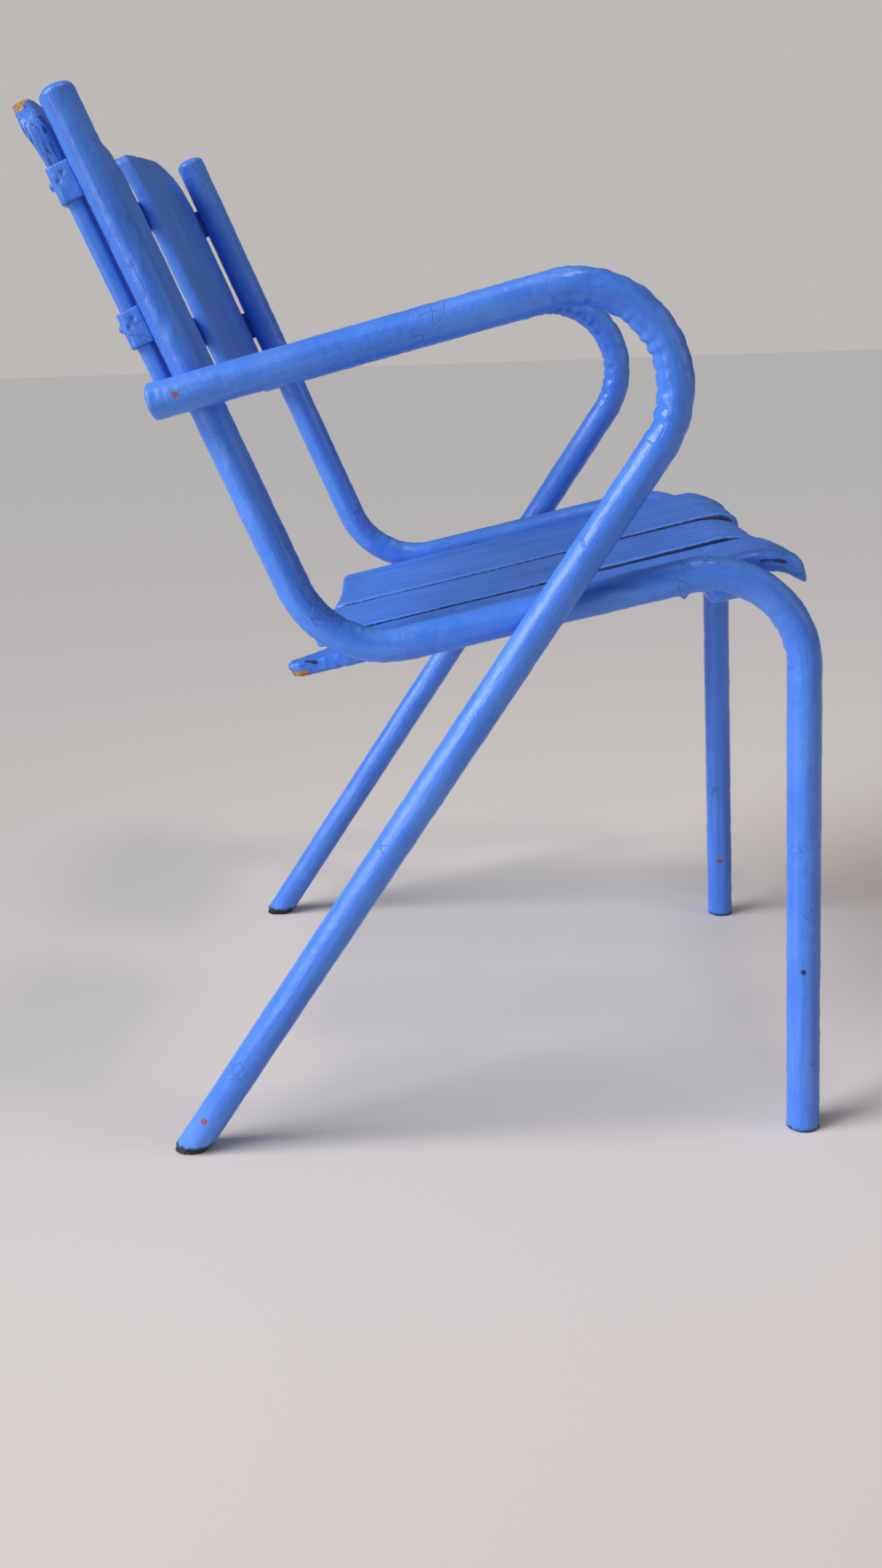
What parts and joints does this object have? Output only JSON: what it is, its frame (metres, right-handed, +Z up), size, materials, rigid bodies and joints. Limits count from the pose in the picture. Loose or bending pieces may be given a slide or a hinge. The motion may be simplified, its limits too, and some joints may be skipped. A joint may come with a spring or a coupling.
{
  "type": "armchair",
  "caption": "Tubular steel armchair with wooden seat and back boards, thick blue paint that peels, cracks and runs, and worn feet.",
  "frame": {"origin": "on the floor, under the middle of the chair's overall box", "axes": "+Z up, -Y the way the chair faces, +X towards the sitter's left"},
  "size_m": [0.5252, 0.5623, 0.7686],
  "materials": {
    "painted_steel": "satin gloss, brushed on thickly, chipped to primer",
    "painted_wood": "satin gloss paint over wood, cracked and peeling, bare where worn",
    "painted_fasteners": "clogged with paint",
    "foot_rubber": "matt, worn and dirty"
  },
  "bodies": {
    "root": {"right_seat_tube": "painted_steel", "left_seat_tube": "painted_steel", "right_arm_tube": "painted_steel", "left_arm_tube": "painted_steel", "right_welds": "painted_steel", "left_welds": "painted_steel", "right_post_cap": "painted_steel", "left_post_cap": "painted_steel", "right_arm_cap": "painted_steel", "left_arm_cap": "painted_steel", "right_foot_plug": "foot_rubber", "left_foot_plug": "foot_rubber", "right_seat_board": "painted_wood", "middle_seat_board": "painted_wood", "left_seat_board": "painted_wood", "right_back_board": "painted_wood", "left_back_board": "painted_wood", "front_seat_bar": "painted_steel", "rear_seat_strap": "painted_steel", "lower_back_strap": "painted_steel", "upper_back_strap": "painted_steel", "seat_bolts": "painted_fasteners", "seat_nuts": "painted_fasteners", "back_bolts": "painted_fasteners", "back_nuts": "painted_fasteners"}
  },
  "joints": []
}
